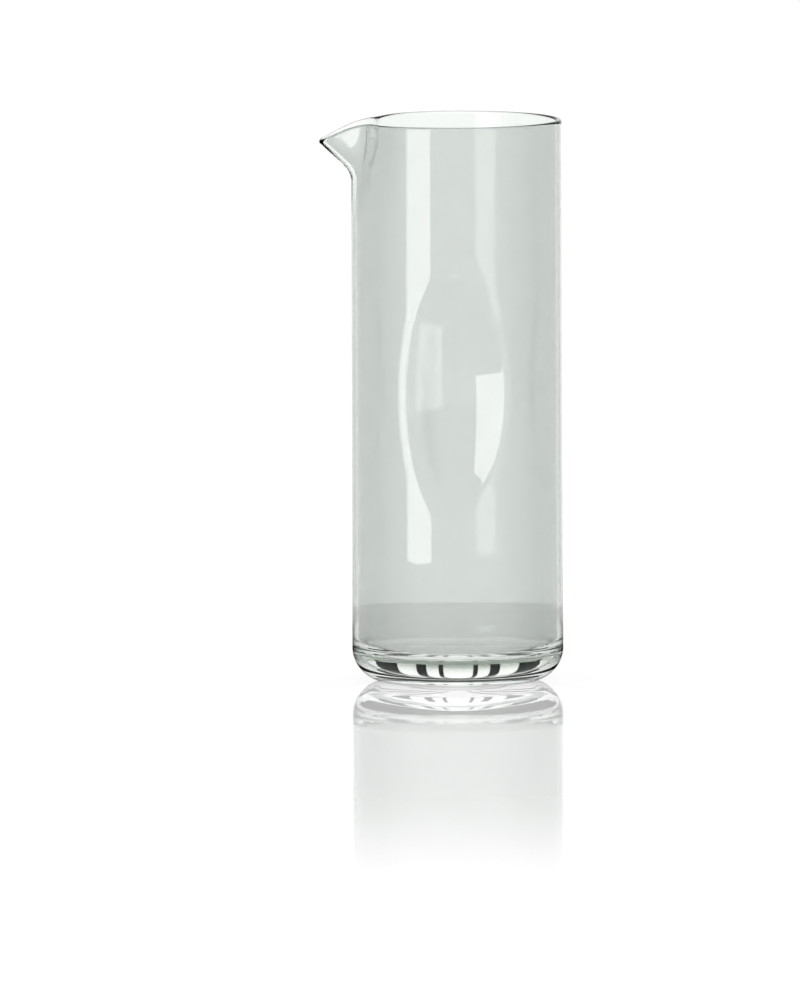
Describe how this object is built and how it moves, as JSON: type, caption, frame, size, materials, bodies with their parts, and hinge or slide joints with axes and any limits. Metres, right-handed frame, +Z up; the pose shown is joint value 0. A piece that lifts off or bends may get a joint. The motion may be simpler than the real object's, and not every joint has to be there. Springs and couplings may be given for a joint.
{
  "type": "water carafe",
  "caption": "Tall cylindrical glass water carafe with a pulled pouring lip, a thumb grip pressed into each side and a heavy clear base.",
  "frame": {"origin": "centre of the flat face that the carafe stands on, on the axis of its straight body", "axes": "+Z up along the body's axis, -X towards the pouring lip, -Y and +Y towards the two thumb grips"},
  "size_m": [0.1035, 0.09, 0.24],
  "materials": {
    "smoke_glass": "clear polished glass tinted a grey smoke green",
    "clear_glass": "clear polished glass, fire-polished at the rim"
  },
  "bodies": {
    "root": {"smoke_lining": "smoke_glass", "clear_casing": "clear_glass", "clear_base": "clear_glass"}
  },
  "joints": []
}
